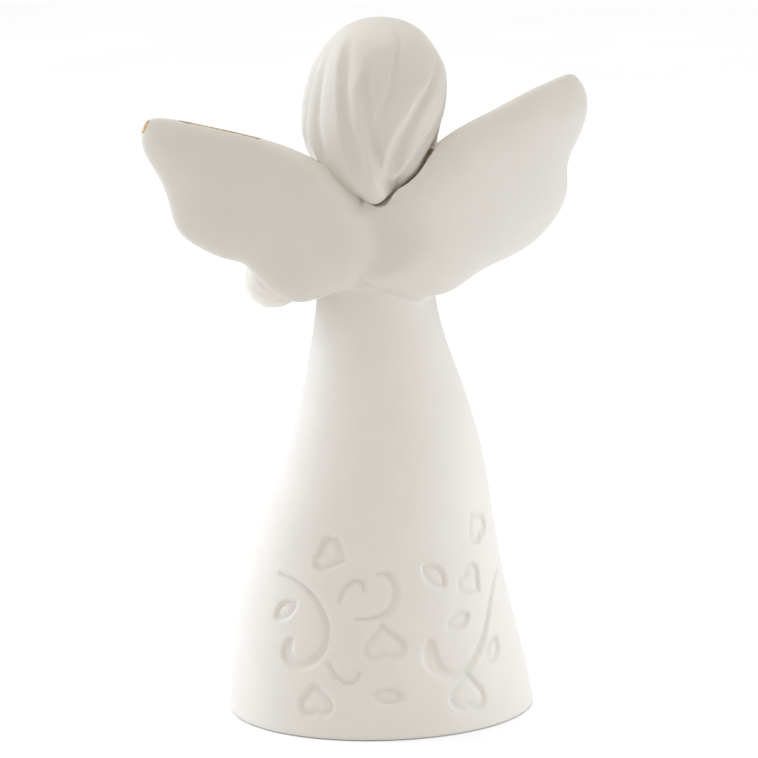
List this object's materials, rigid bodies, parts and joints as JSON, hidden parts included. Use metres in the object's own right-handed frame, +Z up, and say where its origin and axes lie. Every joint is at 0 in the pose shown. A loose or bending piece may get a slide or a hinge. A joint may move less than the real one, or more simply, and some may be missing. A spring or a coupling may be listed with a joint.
{
  "type": "angel figurine",
  "caption": "Standing robed angel figurine with two scalloped wings, folded hands and a flared gown on a flat felt base.",
  "frame": {"origin": "centre of the felt pad's underside, where the figurine stands", "axes": "+Z up to the crown of the head, the angel faces -Y, its left side is +X"},
  "size_m": [0.0949, 0.0552, 0.1401],
  "materials": {
    "white_resin": "matt warm white, like unglazed porcelain",
    "gilded_resin": "the same matt white, with a hand-painted antique gold rim on the front edge",
    "felt": "pressed wool felt",
    "steel": "plain cut rod"
  },
  "bodies": {
    "root": {"gown_shell": "white_resin", "base_plug": "white_resin", "felt_pad": "felt", "head": "white_resin", "hair": "white_resin", "left_wing": "gilded_resin", "right_wing": "gilded_resin", "left_sleeve": "white_resin", "right_sleeve": "white_resin", "left_hand": "white_resin", "right_hand": "white_resin", "neck_dowel": "steel", "left_wing_upper_dowel": "steel", "left_wing_lower_dowel": "steel", "right_wing_upper_dowel": "steel", "right_wing_lower_dowel": "steel", "left_shoulder_dowel": "steel", "right_shoulder_dowel": "steel"}
  },
  "joints": []
}
